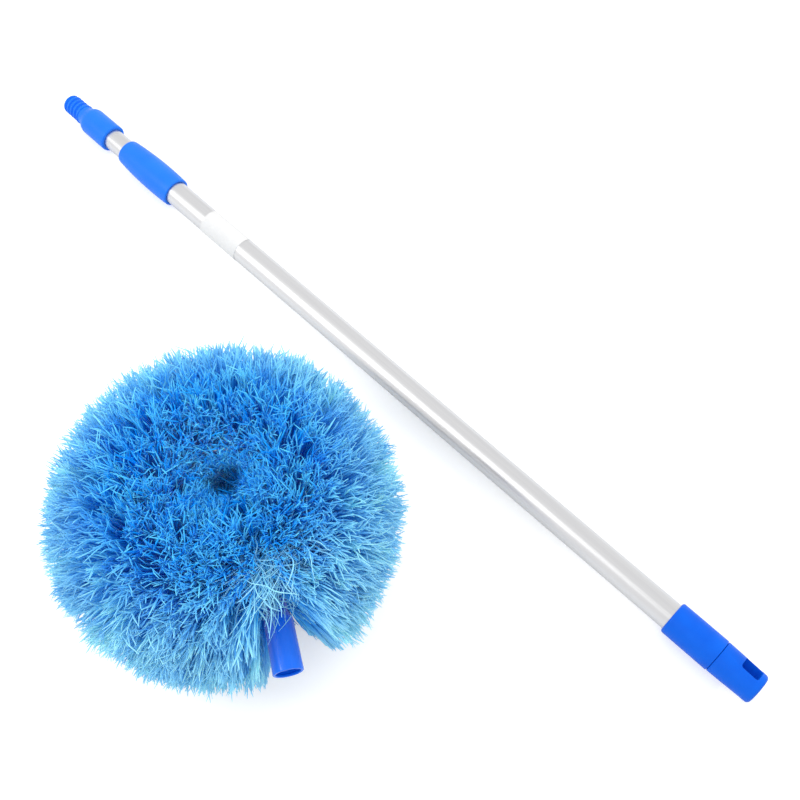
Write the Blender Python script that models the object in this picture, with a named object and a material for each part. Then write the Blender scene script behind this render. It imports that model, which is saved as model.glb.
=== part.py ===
"""Round ceiling duster: a looped wire brush head lying beside its two-section telescopic pole.

Metres, +Z up. The pole lies along X with its threaded tip towards -X, and the head lies on the
-Y side of it, as after unscrewing. The origin is the middle of the footprint, on the table.
"""

import math

import bmesh
import bpy

# Clearances
GAP = 0.0003  # between pieces that touch
SLIDE_CLEARANCE = 0.0003  # between a guide and what slides or turns in it
CUT_OVERRUN = 0.005  # how far a cutter runs past the piece it cuts
LABEL_CLEARANCE = 0.0001  # paper pasted on the tube

# Tubes
OUTER_TUBE_DIAMETER = 0.025
OUTER_TUBE_LENGTH = 0.74175
INNER_TUBE_DIAMETER = 0.022
TUBE_WALL = 0.0008

# Threaded tip with its ferrule, one moulding
THREAD_DIAMETER = 0.0208  # over the crests
THREAD_LENGTH = 0.022
TIP_NOSE_ROUNDING = 0.0045
TIP_NECK_DIAMETER = 0.0200
TIP_NECK_LENGTH = 0.0045
TIP_SHOULDER_LENGTH = 0.0135
FERRULE_LENGTH = 0.0331
FERRULE_TOP_DIAMETER = 0.0288
FERRULE_RIM_DIAMETER = 0.0290
FERRULE_RIM_ROUNDING = 0.0014
FERRULE_POCKET_DEPTH = 0.030
FERRULE_CORE_WALL = 0.0024
FERRULE_CORE_SETBACK = 0.006

# Collar at the upper end of the outer tube
TUBE_SHOWING = 0.0253  # bare inner tube between ferrule and collar when the pole is pushed in
COLLAR_LENGTH = 0.0768
COLLAR_DIAMETER = 0.0320  # at its widest
COLLAR_TOP_DIAMETER = 0.0265
COLLAR_FOOT_DIAMETER = 0.0303
COLLAR_WIDEST_SHARE = 0.65  # how far down its length the collar is widest
COLLAR_LIP_LENGTH = 0.0135
COLLAR_TOP_ROUNDING = 0.0010
COLLAR_FOOT_ROUNDING = 0.0010

# Wrapped paper label
LABEL_FROM_COLLAR = 0.0524
LABEL_LENGTH = 0.050
LABEL_THICKNESS = 0.0002
LABEL_WRAP = math.radians(215)
LABEL_EDGE_TURN = math.radians(40)  # where its upper long edge lies, from +Y towards +Z

# Grip, end plug and swivelling hanging cap at the lower end
GRIP_LENGTH = 0.04655
GRIP_DIAMETER = 0.0304
GRIP_TOP_ROUNDING = 0.0022
JOINT_CHAMFER = 0.0007
PLUG_SHANK_LENGTH = 0.024
PLUG_FLANGE_THICKNESS = 0.0012
PLUG_HOLLOW_DIAMETER = 0.0150
PLUG_HOLLOW_DEPTH = 0.020
SPIGOT_DIAMETER = 0.0170
SPIGOT_LENGTH = 0.0145
SPIGOT_BEAD_HEIGHT = 0.0007
SPIGOT_BEAD_LENGTH = 0.0036
CAP_LENGTH = 0.04035
CAP_DIAMETER = 0.0298  # at the joint with the grip
CAP_END_DIAMETER = 0.0279
CAP_END_ROUNDING = 0.0032
SLOT_LENGTH = 0.0168
SLOT_WIDTH = 0.0170
SLOT_CORNER = 0.0022
SLOT_FROM_END = 0.0060
SLOT_TURN = math.radians(50)  # how far the slot's own direction is raised from +Y

# Eccentric lock at the lower end of the inner tube
LOCK_SHANK_LENGTH = 0.030
LOCK_HOLLOW_DIAMETER = 0.0120
LOCK_HOLLOW_DEPTH = 0.024
LOCK_FLANGE_THICKNESS = 0.0025
JOURNAL_DIAMETER = 0.0150
JOURNAL_LENGTH = 0.0146
JOURNAL_ECCENTRICITY = 0.0006
JOURNAL_CLEARANCE = 0.00055
LOCK_HEAD_DIAMETER = 0.0200
LOCK_HEAD_LENGTH = 0.0040
LOCK_HEAD_TAPER = 0.0015
LOCK_RING_DIAMETER = 0.0228
LOCK_RING_CHAMFER = 0.0006
LOCK_RING_SPLIT = 0.0045
LOCK_END_CLEARANCE = 0.0186  # between the pushed-in lock and the end plug

# Socket, neck and stem of the head, one moulding
SOCKET_DIAMETER = 0.0240
SOCKET_TAPER = 0.0014  # how much narrower the socket is at its shoulder
SOCKET_LENGTH = 0.0405  # from the mouth to the shoulder
SOCKET_BORE_CLEARANCE = 0.00025
SOCKET_END_CLEARANCE = 0.0005
SOCKET_MOUTH_ROUNDING = 0.0005
SOCKET_SHOULDER_LENGTH = 0.008
STEM_NECK_DIAMETER = 0.0172
STEM_END_DIAMETER = 0.0154
STEM_LENGTH = 0.0876  # from the mouth to the stem's inner end
STEM_END_ROUNDING = 0.0008

# Twisted wire loop
WIRE_DIAMETER = 0.0022
WIRE_TWIST_PITCH = 0.016
WIRE_POINTS_PER_TURN = 6
WIRE_SEAT_DEPTH = 0.020  # how far each end reaches into the stem
WIRE_ENDS_APART = 0.0070
LOOP_RADIUS = 0.057
LOOP_SIDE_OFFSET = 0.0259  # of the loop's centre from the stem's axis
LOOP_JOIN_TURN = math.radians(60)  # from the stem to where a branch meets the round part
LOOP_LEAD_LENGTH = 0.024  # reach of the curve handles between stem and loop
LOOP_STEP = 0.0005  # spacing of the sampled points of the loop

# Bristles
BRISTLE_LENGTH = 0.083
BRISTLE_SQUASH = 0.005  # how far the head settles on its lower bristles
DIMPLE_BRIM_RADIUS = 0.013
DIMPLE_FLOOR_RADIUS = 0.006
DIMPLE_DEPTH = 0.026
STEM_COVERED = 0.034  # how much of the stem's inner end the bristles close round
NOTCH_END_WIDTH = 0.020
NOTCH_MOUTH_WIDTH = 0.050

# Where the head lies beside the pole
HEAD_ALONG_POLE = 0.4980  # from the tip to the loop's centre
HEAD_FROM_POLE = 0.2070  # from the pole's axis to the loop's centre
STEM_TURN = math.radians(-32.4)  # heading of the socket's mouth, from +X

# Facets
FULL_TURN = math.tau
ROUND_STEPS = 32
ARC_STEPS = 3
BARREL_STEPS = 5
SHOULDER_STEPS = 6
BRISTLE_ROUND_STEPS = 44
BRISTLE_ARC_STEPS = 7
CHANNEL_SPACING = 0.004
SEAT_BEVEL_RESOLUTION = 2
CHANNEL_BEVEL_RESOLUTION = 1
WIRE_BEVEL_RESOLUTION = 1
WELD = 0.00001
SMOOTH_ANGLE = math.radians(32)

# Places along the pole, from the tip
FERRULE_START = THREAD_LENGTH + TIP_NECK_LENGTH + TIP_SHOULDER_LENGTH
TIP_LENGTH = FERRULE_START + FERRULE_LENGTH
COLLAR_START = TIP_LENGTH + TUBE_SHOWING
OUTER_TUBE_START = COLLAR_START + COLLAR_LIP_LENGTH + GAP
OUTER_TUBE_END = OUTER_TUBE_START + OUTER_TUBE_LENGTH
PLUG_START = OUTER_TUBE_END - PLUG_SHANK_LENGTH
LOCK_BELOW_TUBE = GAP + LOCK_FLANGE_THICKNESS + JOURNAL_LENGTH + LOCK_HEAD_LENGTH
INNER_TUBE_START = TIP_LENGTH - FERRULE_POCKET_DEPTH + GAP
INNER_TUBE_END = PLUG_START - LOCK_END_CLEARANCE - LOCK_BELOW_TUBE
INNER_TUBE_LENGTH = INNER_TUBE_END - INNER_TUBE_START
LABEL_START = COLLAR_START + COLLAR_LENGTH + LABEL_FROM_COLLAR
FLANGE_START = OUTER_TUBE_END + GAP
FLANGE_END = FLANGE_START + PLUG_FLANGE_THICKNESS
GRIP_START = FLANGE_END - GRIP_LENGTH
CAP_START = FLANGE_END + GAP
POLE_LENGTH = CAP_START + CAP_LENGTH
LOCK_RING_START = INNER_TUBE_END + GAP + LOCK_FLANGE_THICKNESS + SLIDE_CLEARANCE

# Radii along the pole
OUTER_TUBE_RADIUS = OUTER_TUBE_DIAMETER / 2
OUTER_TUBE_BORE = OUTER_TUBE_RADIUS - TUBE_WALL
INNER_TUBE_RADIUS = INNER_TUBE_DIAMETER / 2
INNER_TUBE_BORE = INNER_TUBE_RADIUS - TUBE_WALL
COLLAR_RADIUS = COLLAR_DIAMETER / 2
GRIP_RADIUS = GRIP_DIAMETER / 2

# The head's plan has its origin at the loop's centre, and x runs from the mouth into the head
STEM_SIDE = -LOOP_SIDE_OFFSET
STEM_END_ALONG = -math.sqrt(LOOP_RADIUS**2 - LOOP_SIDE_OFFSET**2)
MOUTH_ALONG = STEM_END_ALONG - STEM_LENGTH
HEAD_RADIUS = LOOP_RADIUS + BRISTLE_LENGTH
HEAD_HEIGHT = BRISTLE_LENGTH - BRISTLE_SQUASH  # of the loop over the table

# Wires
WIRE_RADIUS = WIRE_DIAMETER / 2
STRAND_OFFSET = WIRE_RADIUS + GAP / 2
TWIST_RADIUS = STRAND_OFFSET + WIRE_RADIUS

# The pole lies on its collar, and the footprint is centred on the origin
POLE_PLACE = (-POLE_LENGTH / 2, (HEAD_FROM_POLE + HEAD_RADIUS - COLLAR_RADIUS) / 2, COLLAR_RADIUS)
HEAD_PLACE = (
    POLE_PLACE[0] + HEAD_ALONG_POLE,
    POLE_PLACE[1] - HEAD_FROM_POLE,
    HEAD_HEIGHT,
)


def channel_radius(bevel_resolution):
    """Corner radius of a straight-sided channel that clears the twisted pair by the gap."""
    sides = 4 + 2 * bevel_resolution
    return (TWIST_RADIUS + GAP) / math.cos(math.pi / sides)


def clear_scene():
    for obj in list(bpy.data.objects):
        bpy.data.objects.remove(obj)


def finish(name, colour, roughness, metallic=0.0):
    """A Principled material; the colour is linear."""
    made = bpy.data.materials.new(name)
    made.use_nodes = True
    shader = made.node_tree.nodes["Principled BSDF"]
    shader.inputs["Base Color"].default_value = (*colour, 1)
    shader.inputs["Roughness"].default_value = roughness
    shader.inputs["Metallic"].default_value = metallic
    return made


def guide(name, place, turn=0.0):
    """An empty that pieces are placed from."""
    made = bpy.data.objects.new(name, None)
    made.location = place
    made.rotation_euler = (0, 0, turn)
    bpy.context.collection.objects.link(made)
    return made


def placed(name, data, parent, material, along=0.0):
    """Links a piece under its guide, shifted along the guide's X."""
    data.materials.append(material)
    made = bpy.data.objects.new(name, data)
    made.parent = parent
    made.location = (along, 0, 0)
    bpy.context.collection.objects.link(made)
    return made


def cut(target, mesh, place=(0, 0, 0), turn=0.0):
    """Cuts a mesh out of a piece. place is in the piece's frame and turn is about its X."""
    made = bpy.data.objects.new(mesh.name, mesh)
    made.parent = target
    made.location = place
    made.rotation_euler = (turn, 0, 0)
    made.hide_render = True
    made.display_type = "WIRE"
    bpy.context.collection.objects.link(made)
    step = target.modifiers.new(mesh.name, "BOOLEAN")
    step.operation = "DIFFERENCE"
    step.object = made


def mesh_from(name, shape):
    """Turns a bmesh into a closed, outward-facing, smooth-shaded mesh."""
    bmesh.ops.remove_doubles(shape, verts=shape.verts, dist=WELD)
    bmesh.ops.recalc_face_normals(shape, faces=shape.faces)
    mesh = bpy.data.meshes.new(name)
    shape.to_mesh(mesh)
    shape.free()
    mesh.shade_smooth()
    mesh.set_sharp_from_angle(angle=SMOOTH_ANGLE)
    return mesh


def turned(name, outline, sweep=FULL_TURN, start=0.0, upright=False, steps=ROUND_STEPS, side=0.0):
    """Spins an outline of (along, radius) points round X, or round Z when upright.

    An outline that starts and ends on the axis makes a solid, and any other makes a ring.
    side shifts the finished shape along Y, for an eccentric journal.
    """
    shape = bmesh.new()
    if upright:
        corners = [(radius, 0, along) for along, radius in outline]
        axis = (0, 0, 1)
    else:
        corners = [
            (along, radius * math.cos(start), radius * math.sin(start))
            for along, radius in outline
        ]
        axis = (1, 0, 0)
    points = [shape.verts.new(corner) for corner in corners]
    solid = outline[0][1] == 0 and outline[-1][1] == 0
    following = points[1:] if solid else points[1:] + points[:1]
    lines = [shape.edges.new(pair) for pair in zip(points, following)]
    spun = bmesh.ops.spin(
        shape, geom=points + lines, cent=(0, 0, 0), axis=axis, angle=sweep, steps=steps
    )
    if sweep < FULL_TURN:
        last = [item for item in spun["geom_last"] if isinstance(item, bmesh.types.BMVert)]
        shape.faces.new(points)
        shape.faces.new(last)
    bmesh.ops.translate(shape, verts=shape.verts, vec=(0, side, 0))
    return mesh_from(name, shape)


def joined(name, *meshes):
    """Several closed meshes, which overlap, united into one."""
    base = bpy.data.objects.new(name, meshes[0])
    bpy.context.collection.objects.link(base)
    others = []
    for mesh in meshes[1:]:
        other = bpy.data.objects.new(mesh.name, mesh)
        bpy.context.collection.objects.link(other)
        step = base.modifiers.new(mesh.name, "BOOLEAN")
        step.operation = "UNION"
        step.object = other
        others.append(other)
    bpy.context.view_layer.update()
    graph = bpy.context.evaluated_depsgraph_get()
    united = bpy.data.meshes.new_from_object(base.evaluated_get(graph))
    for obj in [base, *others]:
        bpy.data.objects.remove(obj)
    united.name = name
    return united


def block(name, size, corner=0.0):
    """A box about its centre, its edges along Y rounded by corner."""
    shape = bmesh.new()
    bmesh.ops.create_cube(shape, size=1)
    bmesh.ops.scale(shape, vec=size, verts=shape.verts)
    if corner:
        upright = [
            edge for edge in shape.edges
            if abs(edge.verts[0].co.y - edge.verts[1].co.y) > corner
        ]
        bmesh.ops.bevel(
            shape, geom=upright, offset=corner, segments=ARC_STEPS, profile=0.5, affect="EDGES"
        )
    return mesh_from(name, shape)


def wedge(name, near, far, near_width, far_width, low, high):
    """An upright wedge along X, from one width to another."""
    shape = bmesh.new()
    corners = [
        (near, -near_width / 2, low), (far, -far_width / 2, low),
        (far, far_width / 2, low), (near, near_width / 2, low),
    ]
    floor = shape.faces.new([shape.verts.new(corner) for corner in corners])
    raised = bmesh.ops.extrude_face_region(shape, geom=[floor])
    risen = [item for item in raised["geom"] if isinstance(item, bmesh.types.BMVert)]
    bmesh.ops.translate(shape, verts=risen, vec=(0, 0, high - low))
    return mesh_from(name, shape)


def tube_curve(name, route, radius, bevel_resolution):
    """A round bar along a list of points, with closed ends."""
    curve = bpy.data.curves.new(name, "CURVE")
    curve.dimensions = "3D"
    curve.bevel_depth = radius
    curve.bevel_resolution = bevel_resolution
    curve.use_fill_caps = True
    spline = curve.splines.new("POLY")
    spline.points.add(len(route) - 1)
    for point, place in zip(spline.points, route):
        point.co = (*place, 1)
    return curve


def tube_mesh(name, route, radius, bevel_resolution):
    """The same bar as one welded mesh, for cutting with."""
    bar = bpy.data.objects.new(name, tube_curve(name, route, radius, bevel_resolution))
    mesh = bpy.data.meshes.new_from_object(bar)
    shape = bmesh.new()
    shape.from_mesh(mesh)
    bpy.data.objects.remove(bar)
    bpy.data.meshes.remove(mesh)
    return mesh_from(name, shape)


def arc(along, radius, size, start, end, steps=ARC_STEPS):
    """Points of a round stretch about (along, radius), between two angles in degrees."""
    angles = [math.radians(start + (end - start) * step / steps) for step in range(steps + 1)]
    return [(along + size * math.cos(turn), radius + size * math.sin(turn)) for turn in angles]


def swell(start, end, steps=SHOULDER_STEPS):
    """Points of a smooth S from one (along, radius) to another."""
    points = []
    for step in range(steps + 1):
        share = step / steps
        rise = (1 - math.cos(math.pi * share)) / 2
        points.append(
            (start[0] + (end[0] - start[0]) * share, start[1] + (end[1] - start[1]) * rise)
        )
    return points


def tube_outline(length, radius, wall):
    return [(0, radius - wall), (0, radius), (length, radius), (length, radius - wall)]


def threaded_tip_outline():
    """Nose, spigot, neck, shoulder and ferrule outside; pocket for the tube and core inside."""
    spigot = THREAD_DIAMETER / 2
    neck = TIP_NECK_DIAMETER / 2
    rim = FERRULE_RIM_DIAMETER / 2
    pocket_outer = INNER_TUBE_RADIUS + GAP
    pocket_inner = INNER_TUBE_BORE - GAP
    core_end = TIP_LENGTH - FERRULE_CORE_SETBACK
    pocket_end = TIP_LENGTH - FERRULE_POCKET_DEPTH
    hollow = pocket_inner - FERRULE_CORE_WALL
    outline = [(0, 0)]
    outline += arc(TIP_NOSE_ROUNDING, spigot - TIP_NOSE_ROUNDING, TIP_NOSE_ROUNDING, 180, 90)
    outline += [(THREAD_LENGTH - (spigot - neck), spigot), (THREAD_LENGTH, neck)]
    outline += swell((THREAD_LENGTH + TIP_NECK_LENGTH, neck),
                     (FERRULE_START, FERRULE_TOP_DIAMETER / 2))
    outline += arc(TIP_LENGTH - FERRULE_RIM_ROUNDING, rim - FERRULE_RIM_ROUNDING,
                   FERRULE_RIM_ROUNDING, 90, 0)
    outline += [(TIP_LENGTH, pocket_outer), (pocket_end, pocket_outer)]
    outline += [(pocket_end, pocket_inner), (core_end, pocket_inner)]
    outline += [(core_end, hollow), (pocket_end + FERRULE_CORE_WALL, hollow)]
    outline += [(pocket_end + FERRULE_CORE_WALL, 0)]
    return outline


def collar_radius_at(along):
    """Outer radius of the barrel-shaped collar."""
    widest = COLLAR_LENGTH * COLLAR_WIDEST_SHARE
    if along < widest:
        end = COLLAR_TOP_DIAMETER / 2
        share = 1 - along / widest
    else:
        end = COLLAR_FOOT_DIAMETER / 2
        share = (along - widest) / (COLLAR_LENGTH - widest)
    return COLLAR_RADIUS - (COLLAR_RADIUS - end) * share**2


def collar_outline():
    """Barrel outside; inside, a lip that guides the inner tube and a seat for the outer tube."""
    lip = INNER_TUBE_RADIUS + SLIDE_CLEARANCE
    seat = OUTER_TUBE_RADIUS + GAP
    top = COLLAR_TOP_DIAMETER / 2
    foot = COLLAR_FOOT_DIAMETER / 2
    widest = COLLAR_LENGTH * COLLAR_WIDEST_SHARE
    upper = [widest * step / BARREL_STEPS for step in range(1, BARREL_STEPS + 1)]
    lower = [
        widest + (COLLAR_LENGTH - COLLAR_FOOT_ROUNDING - widest) * step / BARREL_STEPS
        for step in range(1, BARREL_STEPS)
    ]
    outline = [(0, lip)]
    outline += arc(COLLAR_TOP_ROUNDING, top - COLLAR_TOP_ROUNDING, COLLAR_TOP_ROUNDING, 180, 110)
    outline += [(along, collar_radius_at(along)) for along in upper + lower]
    outline += arc(COLLAR_LENGTH - COLLAR_FOOT_ROUNDING, foot - COLLAR_FOOT_ROUNDING,
                   COLLAR_FOOT_ROUNDING, 90, 0)
    outline += [(COLLAR_LENGTH, seat), (COLLAR_LIP_LENGTH, seat), (COLLAR_LIP_LENGTH, lip)]
    return outline


def label_outline():
    inner = OUTER_TUBE_RADIUS + LABEL_CLEARANCE
    return tube_outline(LABEL_LENGTH, inner + LABEL_THICKNESS, LABEL_THICKNESS)


def grip_outline():
    bore = OUTER_TUBE_RADIUS + GAP
    outline = [(0, bore)]
    outline += arc(GRIP_TOP_ROUNDING, GRIP_RADIUS - GRIP_TOP_ROUNDING, GRIP_TOP_ROUNDING, 180, 90)
    outline += [(GRIP_LENGTH - JOINT_CHAMFER, GRIP_RADIUS)]
    outline += [(GRIP_LENGTH, GRIP_RADIUS - JOINT_CHAMFER), (GRIP_LENGTH, bore)]
    return outline


def bead(along, radius):
    """A snap bead, or the groove that takes it: a low round ridge that ends at along."""
    half = SPIGOT_BEAD_LENGTH / 2
    return [
        (along - SPIGOT_BEAD_LENGTH, radius),
        (along - half - half / 2, radius + SPIGOT_BEAD_HEIGHT),
        (along - half / 2, radius + SPIGOT_BEAD_HEIGHT),
        (along, radius),
    ]


def end_plug_outline():
    """Hollow shank in the tube, flange over the tube's end, and the spigot for the cap."""
    shank = OUTER_TUBE_BORE - GAP
    hollow = PLUG_HOLLOW_DIAMETER / 2
    spigot = SPIGOT_DIAMETER / 2
    flange_start = PLUG_SHANK_LENGTH + GAP
    flange_end = flange_start + PLUG_FLANGE_THICKNESS
    end = flange_end + SPIGOT_LENGTH
    outline = [(PLUG_HOLLOW_DEPTH, 0), (PLUG_HOLLOW_DEPTH, hollow), (0, hollow), (0, shank)]
    outline += [(flange_start, shank), (flange_start, OUTER_TUBE_RADIUS)]
    outline += [(flange_end, OUTER_TUBE_RADIUS), (flange_end, spigot)]
    outline += bead(end, spigot)
    outline += [(end, 0)]
    return outline


def hang_cap_outline():
    """A thick cap over the spigot, solid past it where the slot goes through."""
    bore = SPIGOT_DIAMETER / 2 + SLIDE_CLEARANCE
    bottom = SPIGOT_LENGTH - GAP + SLIDE_CLEARANCE * 2
    groove_end = SPIGOT_LENGTH - GAP
    start = CAP_DIAMETER / 2
    end = CAP_END_DIAMETER / 2
    outline = [(bottom, 0), (bottom, bore)]
    outline += reversed(bead(groove_end, bore))
    outline += [(0, bore), (0, start - JOINT_CHAMFER), (JOINT_CHAMFER, start)]
    outline += arc(CAP_LENGTH - CAP_END_ROUNDING, end - CAP_END_ROUNDING,
                   CAP_END_ROUNDING, 90, 0)
    outline += [(CAP_LENGTH, 0)]
    return outline


def lock_body_outline():
    """Hollow shank in the inner tube and the flange under it."""
    shank = INNER_TUBE_BORE - GAP
    hollow = LOCK_HOLLOW_DIAMETER / 2
    flange_start = LOCK_SHANK_LENGTH + GAP
    flange_end = flange_start + LOCK_FLANGE_THICKNESS
    outline = [(LOCK_HOLLOW_DEPTH, 0), (LOCK_HOLLOW_DEPTH, hollow), (0, hollow), (0, shank)]
    outline += [(flange_start, shank), (flange_start, INNER_TUBE_RADIUS)]
    outline += [(flange_end, INNER_TUBE_RADIUS), (flange_end, 0)]
    return outline


def journal_outline():
    """The eccentric journal, rooted in the flange and in the head."""
    start = LOCK_SHANK_LENGTH + GAP + LOCK_FLANGE_THICKNESS / 2
    end = start + LOCK_FLANGE_THICKNESS / 2 + JOURNAL_LENGTH + LOCK_HEAD_LENGTH / 2
    radius = JOURNAL_DIAMETER / 2
    return [(start, 0), (start, radius), (end, radius), (end, 0)]


def lock_head_outline():
    """The tapered head that keeps the ring on."""
    start = LOCK_SHANK_LENGTH + GAP + LOCK_FLANGE_THICKNESS + JOURNAL_LENGTH
    end = start + LOCK_HEAD_LENGTH
    radius = LOCK_HEAD_DIAMETER / 2
    return [
        (start, 0), (start, radius), (end - LOCK_HEAD_TAPER, radius),
        (end, radius - LOCK_HEAD_TAPER), (end, 0),
    ]


def lock_ring_outline():
    length = JOURNAL_LENGTH - 2 * SLIDE_CLEARANCE
    radius = LOCK_RING_DIAMETER / 2
    chamfer = LOCK_RING_CHAMFER
    return [
        (0, 0), (0, radius - chamfer), (chamfer, radius), (length - chamfer, radius),
        (length, radius - chamfer), (length, 0),
    ]


def lock_bore_outline():
    length = JOURNAL_LENGTH - 2 * SLIDE_CLEARANCE
    radius = JOURNAL_DIAMETER / 2 + JOURNAL_CLEARANCE
    return [(-CUT_OVERRUN, 0), (-CUT_OVERRUN, radius),
            (length + CUT_OVERRUN, radius), (length + CUT_OVERRUN, 0)]


def head_socket_outline():
    """From the bore's floor round the mouth, the socket, its shoulder, the neck and the stem."""
    bore = THREAD_DIAMETER / 2 + SOCKET_BORE_CLEARANCE
    depth = THREAD_LENGTH + TIP_NECK_LENGTH + SOCKET_END_CLEARANCE
    mouth = SOCKET_DIAMETER / 2
    shoulder_end = SOCKET_LENGTH + SOCKET_SHOULDER_LENGTH
    end = STEM_END_DIAMETER / 2
    outline = [(depth, 0), (depth, bore), (SOCKET_MOUTH_ROUNDING, bore)]
    outline += [(0, bore + SOCKET_MOUTH_ROUNDING)]
    outline += arc(SOCKET_MOUTH_ROUNDING, mouth - SOCKET_MOUTH_ROUNDING,
                   SOCKET_MOUTH_ROUNDING, 180, 90)
    outline += swell((SOCKET_LENGTH, (SOCKET_DIAMETER - SOCKET_TAPER) / 2),
                     (shoulder_end, STEM_NECK_DIAMETER / 2))
    outline += arc(STEM_LENGTH - STEM_END_ROUNDING, end - STEM_END_ROUNDING,
                   STEM_END_ROUNDING, 90, 0)
    outline += [(STEM_LENGTH, 0)]
    return outline


def bristle_outline():
    """Half section of the bristle ring: round where the filament reaches, flat on the table.

    The two sides of the loop meet over its middle in a dish, with a dimple where they part.
    """
    brim = math.acos((DIMPLE_BRIM_RADIUS - LOOP_RADIUS) / BRISTLE_LENGTH)
    foot = math.asin(HEAD_HEIGHT / BRISTLE_LENGTH)
    middle = math.acos(-LOOP_RADIUS / BRISTLE_LENGTH)
    brim_height = BRISTLE_LENGTH * math.sin(brim)
    floor = brim_height - DIMPLE_DEPTH
    outer = reach(brim, -foot, 2 * BRISTLE_ARC_STEPS)
    under = reach(foot - math.pi, -middle, ARC_STEPS)[:-1]
    outline = [(floor, 0), (floor, DIMPLE_FLOOR_RADIUS)] + outer + under
    outline += [(-BRISTLE_LENGTH * math.sin(middle), 0)]
    return outline


def stem_bore_outline():
    """The room in the bristles for the stem, from past its inner end out into the notch."""
    radius = STEM_NECK_DIAMETER / 2 + GAP
    notch = -STEM_COVERED - CUT_OVERRUN
    return [(GAP, 0), (GAP, radius), (notch, radius), (notch, 0)]


def reach(start, end, steps):
    """Points at the bristles' reach round the wire, from outward towards upward."""
    turns = [start + (end - start) * step / steps for step in range(steps + 1)]
    return [
        (BRISTLE_LENGTH * math.sin(turn), LOOP_RADIUS + BRISTLE_LENGTH * math.cos(turn))
        for turn in turns
    ]


def bezier(start, start_handle, end_handle, end, share):
    """A point of a cubic curve in the head's plan."""
    rest = 1 - share
    weights = (rest**3, 3 * rest**2 * share, 3 * rest * share**2, share**3)
    ends = (start, start_handle, end_handle, end)
    return tuple(sum(w * p[axis] for w, p in zip(weights, ends)) for axis in range(2))


def branch(side, turn):
    """One branch of the wire, from its seat in the stem to where it meets the round part.

    side is +1 or -1 across the stem, and turn is where it meets, from the loop's nearest point.
    """
    across = STEM_SIDE + side * WIRE_ENDS_APART / 2
    seat = (STEM_END_ALONG - WIRE_SEAT_DEPTH, across)
    leaves = (STEM_END_ALONG, across)
    meets = (-LOOP_RADIUS * math.cos(turn), LOOP_RADIUS * math.sin(turn))
    heading = (side * math.sin(turn), side * math.cos(turn))
    handles = (
        (leaves[0] + LOOP_LEAD_LENGTH, leaves[1]),
        (meets[0] - LOOP_LEAD_LENGTH * heading[0], meets[1] - LOOP_LEAD_LENGTH * heading[1]),
    )
    steps = math.ceil(2 * LOOP_LEAD_LENGTH / LOOP_STEP)
    lead = [bezier(leaves, *handles, meets, step / steps) for step in range(steps + 1)]
    return [seat] + lead


def loop_route():
    """Points of the wire's middle line in the head's plan, from one end in the stem to the other."""
    stem_turn = math.asin(STEM_SIDE / LOOP_RADIUS)
    left_turn = stem_turn + LOOP_JOIN_TURN
    right_turn = stem_turn - LOOP_JOIN_TURN
    bend = FULL_TURN - 2 * LOOP_JOIN_TURN
    steps = math.ceil(bend * LOOP_RADIUS / LOOP_STEP)
    around = []
    for step in range(1, steps):
        turn = left_turn + bend * step / steps
        around.append((-LOOP_RADIUS * math.cos(turn), LOOP_RADIUS * math.sin(turn)))
    return branch(1, left_turn) + around + branch(-1, right_turn)[::-1]


def evenly(route, spacing):
    """The route again, with points about the given spacing apart, and the heading at each."""
    covered = [0.0]
    for here, there in zip(route, route[1:]):
        covered.append(covered[-1] + math.dist(here, there))
    count = math.ceil(covered[-1] / spacing)
    points = []
    index = 0
    for step in range(count + 1):
        along = covered[-1] * step / count
        while index < len(route) - 2 and covered[index + 1] < along:
            index += 1
        here, there = route[index], route[index + 1]
        stretch = covered[index + 1] - covered[index]
        share = (along - covered[index]) / stretch
        place = tuple(h + (t - h) * share for h, t in zip(here, there))
        heading = tuple((t - h) / stretch for h, t in zip(here, there))
        points.append((along, place, heading))
    return points


def strand_route(phase):
    """One wire of the twisted pair, winding round the loop's middle line."""
    route = []
    for along, place, heading in evenly(loop_route(), WIRE_TWIST_PITCH / WIRE_POINTS_PER_TURN):
        turn = FULL_TURN * along / WIRE_TWIST_PITCH + phase
        sideways = STRAND_OFFSET * math.cos(turn)
        route.append((
            place[0] - heading[1] * sideways,
            place[1] + heading[0] * sideways,
            STRAND_OFFSET * math.sin(turn),
        ))
    return route


def channel_mesh():
    """The space that the twisted wires take in the bristles, run on into the notch."""
    middle = [place for _, place, _ in evenly(loop_route(), CHANNEL_SPACING)]
    return tube_mesh(
        "wire_channel", [(*place, 0) for place in middle],
        channel_radius(CHANNEL_BEVEL_RESOLUTION), CHANNEL_BEVEL_RESOLUTION,
    )


def pole_upper(pole, blue, aluminium):
    """What slides out: tip, inner tube and lock plug."""
    placed("threaded_tip", turned("threaded_tip", threaded_tip_outline()), pole, blue)
    inner = tube_outline(INNER_TUBE_LENGTH, INNER_TUBE_RADIUS, TUBE_WALL)
    placed("inner_tube", turned("inner_tube", inner), pole, aluminium, INNER_TUBE_START)
    plug = joined(
        "lock_plug",
        turned("lock_body", lock_body_outline()),
        turned("journal", journal_outline(), side=JOURNAL_ECCENTRICITY),
        turned("lock_head", lock_head_outline()),
    )
    placed("lock_plug", plug, pole, blue, INNER_TUBE_END - LOCK_SHANK_LENGTH)


def lock_ring(pole, plastic):
    """Split ring, bored off centre by the journal's eccentricity."""
    ring = placed("lock_ring", turned("lock_ring", lock_ring_outline()), pole, plastic,
                  LOCK_RING_START)
    cut(ring, turned("lock_bore", lock_bore_outline(), side=JOURNAL_ECCENTRICITY))
    length = JOURNAL_LENGTH + 2 * CUT_OVERRUN
    split = block("lock_split", (length, LOCK_RING_DIAMETER, LOCK_RING_SPLIT))
    cut(ring, split, place=(JOURNAL_LENGTH / 2, LOCK_RING_DIAMETER / 2, 0))


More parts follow.
